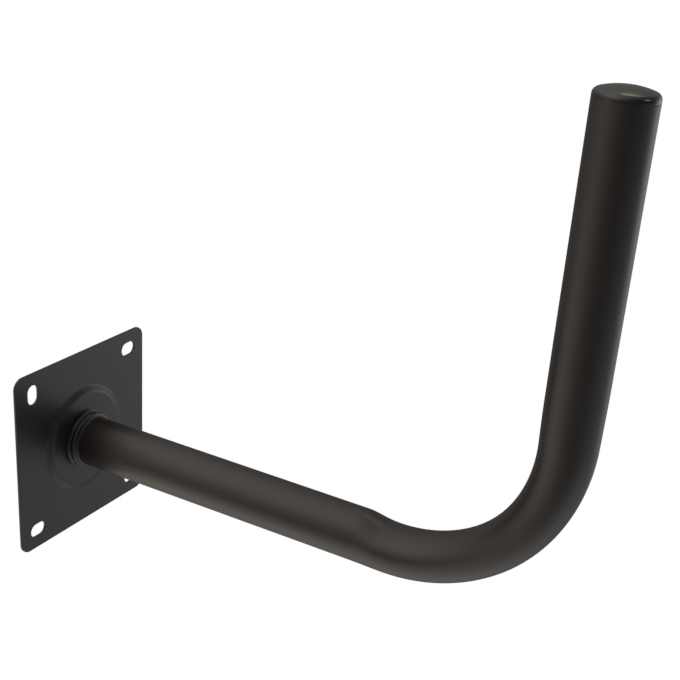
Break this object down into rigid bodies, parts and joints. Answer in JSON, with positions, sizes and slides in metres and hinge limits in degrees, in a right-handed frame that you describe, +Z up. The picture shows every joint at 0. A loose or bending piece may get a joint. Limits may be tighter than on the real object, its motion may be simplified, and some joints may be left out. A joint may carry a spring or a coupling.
{
  "type": "satellite dish wall bracket",
  "caption": "L-shaped wall bracket for a satellite dish: square slotted wall plate, round tube swaged into it and bent up into a mast, and a domed end plug.",
  "frame": {"origin": "on the wall plane (the plate's back face), on the arm's axis, which is the centre of the plate and of its slot pattern", "axes": "+X away from the wall along the arm, +Y sideways along the wall, +Z up, parallel to the mast"},
  "size_m": [0.422, 0.15, 0.419],
  "materials": {
    "plate_coat": "satin anthracite powder coat on pressed steel sheet",
    "tube_coat": "satin brown-black powder coat on steel tube",
    "plug_plastic": "smooth glossy black moulded plastic"
  },
  "bodies": {
    "bracket": {"wall_plate": "plate_coat", "bent_tube": "tube_coat"},
    "plug": {"mast_plug": "plug_plastic"}
  },
  "joints": [
    {"name": "plug_pull", "type": "slide", "parent": "bracket", "child": "plug", "axis": [0, 0, 1], "range_m": [0, 0.03]}
  ]
}
